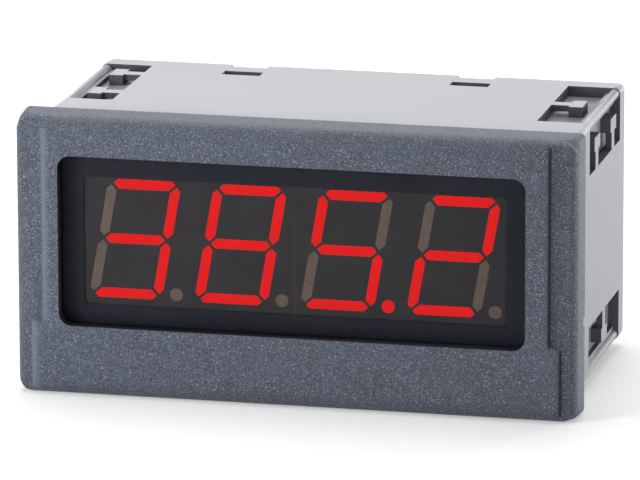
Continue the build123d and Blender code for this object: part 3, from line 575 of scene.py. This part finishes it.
def corner_blocks():
    """Blocks that fill the four rear corners of the bezel before they are rounded."""
    pieces = []
    for side, level in CORNERS:
        far_x = side * (BEZEL_WIDTH / 2 + FILL_OVERSHOOT)
        far_z = level * (BEZEL_HEIGHT / 2 + FILL_OVERSHOOT)
        for reach_x, reach_z in FILL_REACHES:
            near_x = side * (BEZEL_WIDTH / 2 - reach_x)
            near_z = level * (BEZEL_HEIGHT / 2 - reach_z)
            outline = ((near_x, near_z), (far_x, near_z), (far_x, far_z), (near_x, far_z))
            rings = []
            for forward in (0.0, FILL_DEPTH):
                rings.append([Vector((x, -forward, z)) * MM for x, z in outline])
            pieces.append(add_solid("corner", rings))
    return pieces


def add_weld(piece):
    """Merges the points of a CAD mesh that lie on each other."""
    weld = piece.modifiers.new("weld", "WELD")
    weld.merge_threshold = WELD_DISTANCE * MM


def add_boolean(piece, operation, helper):
    """Joins a helper's volume to a piece, or trims the piece to it."""
    boolean = piece.modifiers.new(helper.name, "BOOLEAN")
    boolean.operation = operation
    boolean.object = helper


def apply_modifiers(piece):
    """Gives a piece the mesh that its modifiers make, smooth where its faces meet at a small angle."""
    bpy.context.view_layer.update()
    shaped = piece.evaluated_get(bpy.context.evaluated_depsgraph_get())
    mesh = bpy.data.meshes.new_from_object(shaped)
    mesh.shade_smooth()
    mesh.set_sharp_from_angle(angle=SMOOTH_ANGLE)
    piece.modifiers.clear()
    piece.data = mesh


def shape_bezel():
    """Bezel with small corners at its rim and large ones at its front, in place of the CAD node."""
    node = nodes["front_bezel"]
    bezel = bpy.data.objects.new("bezel", node.data.copy())
    bezel.matrix_world = node.matrix_world.copy()
    bpy.context.scene.collection.objects.link(bezel)
    add_weld(bezel)
    helpers = corner_blocks()
    for block in helpers:
        add_boolean(bezel, "UNION", block)
    envelope = add_solid("envelope", [bezel_ring(forward) for forward in BEZEL_STATIONS])
    add_boolean(bezel, "INTERSECT", envelope)
    apply_modifiers(bezel)
    for helper in (*helpers, envelope):
        bpy.data.objects.remove(helper)
    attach(bezel, "case")
    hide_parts("front_bezel")


def shade_recess_walls():
    """Gives the inner walls of the housing's clamp recesses and the sides of the lugs a copy of the
    housing's finish without its sheen, as painted shade.
    """
    housing = nodes["housing"]
    shaded_slot = len(housing.data.materials)
    housing.data.materials.append(shaded_slate())
    turn = housing.matrix_world.to_3x3()
    for polygon in housing.data.polygons:
        centre = housing.matrix_world @ polygon.center / MM
        facing = turn @ polygon.normal
        aside = abs(centre.x)
        level = abs(centre.z)
        in_top = RECESS_WALL_X - WALL_TOLERANCE < aside < RECESS_FLOOR_X and level > RECESS_FLOOR_Z
        in_side = RECESS_WALL_Z - WALL_TOLERANCE < level < RECESS_FLOOR_Z and aside > RECESS_FLOOR_X
        if in_top and abs(facing.x) > SQUARE_ON or in_side and abs(facing.z) > SQUARE_ON:
            polygon.material_index = shaded_slot


def soften_edges(name):
    """Rounds the sharp edges of a CAD node by a hair, as a mould leaves them."""
    add_weld(nodes[name])
    bevel = nodes[name].modifiers.new("edges", "BEVEL")
    bevel.width = EDGE_ROUNDING * MM
    bevel.segments = EDGE_SEGMENTS
    bevel.limit_method = "ANGLE"
    bevel.angle_limit = EDGE_ANGLE
    bevel.harden_normals = True


def seen_share(tree):
    """One for rays that see a surface directly, by reflection or through glass, and nought for others."""
    path = tree.add("ShaderNodeLightPath").outputs
    mirrored = tree.math("ADD", path["Is Glossy Ray"], path["Is Transmission Ray"])
    return tree.math("ADD", path["Is Camera Ray"], mirrored, clamp=True)


def add_floor():
    """Plain white floor that the bezel's lower edge stands on."""
    lowest = cad_bounds[0][2]
    bpy.ops.mesh.primitive_plane_add(size=FLOOR_SIZE * MM, location=(0, 0, lowest))
    floor = bpy.context.object
    floor.name = "floor"
    look = Look("floor", roughness=0.9, specular=0.0)
    look.set("Base Color", srgb(240, 240, 240))
    look.set("Emission Color", WHITE)
    look.set("Emission Strength", look.product(seen_share(look), FLOOR_GLOW))
    floor.data.materials.append(look.material)


def add_world():
    """Even white studio surroundings, seen as white and lighting the meter at a lower level."""
    world = bpy.data.worlds.new("studio")
    world.use_nodes = True
    tree = Tree(world.node_tree)
    background = world.node_tree.nodes["Background"].inputs
    background["Color"].default_value = WHITE
    seen_rest = tree.product(seen_share(tree), 1 - WORLD_LIGHT)
    tree.link(tree.math("ADD", seen_rest, WORLD_LIGHT), background["Strength"])
    bpy.context.scene.world = world


def add_lamp(name, place, size, power):
    """Square lamp that faces the meter."""
    data = bpy.data.lights.new(name, "AREA")
    data.size = size * MM
    data.energy = power
    lamp = bpy.data.objects.new(name, data)
    lamp.location = Vector(place) * MM
    lamp.rotation_euler = Vector(place).to_track_quat("Z", "Y").to_euler()
    lamp.visible_camera = False
    bpy.context.scene.collection.objects.link(lamp)


def add_camera():
    """Camera at the photo's viewpoint."""
    yaw, pitch, roll = CAMERA_YAW, CAMERA_PITCH, CAMERA_ROLL
    back = Vector((sin(yaw) * cos(pitch), -cos(yaw) * cos(pitch), sin(pitch)))
    level = Vector((cos(yaw), sin(yaw), 0.0))
    up = back.cross(level)
    right = cos(roll) * level + sin(roll) * up
    upright = -sin(roll) * level + cos(roll) * up
    data = bpy.data.cameras.new("camera")
    data.sensor_width = SENSOR_WIDTH
    data.lens = CAMERA_LENS
    data.clip_end = CAMERA_REACH * MM
    camera = bpy.data.objects.new("camera", data)
    place = CAMERA_TARGET * MM + CAMERA_DISTANCE * MM * back
    rotation = Matrix((right, upright, back)).transposed().to_4x4()
    camera.matrix_world = Matrix.Translation(place) @ rotation
    bpy.context.scene.collection.objects.link(camera)
    bpy.context.scene.camera = camera


dress_case()
dress_display()
dress_boards()
dress_terminals()
shape_bezel()
shade_recess_walls()
soften_edges("housing")
soften_edges("rear_cover")
add_floor()
add_world()
for lamp in LAMPS:
    add_lamp(*lamp)
add_camera()
bpy.context.scene.view_settings.view_transform = "Standard"
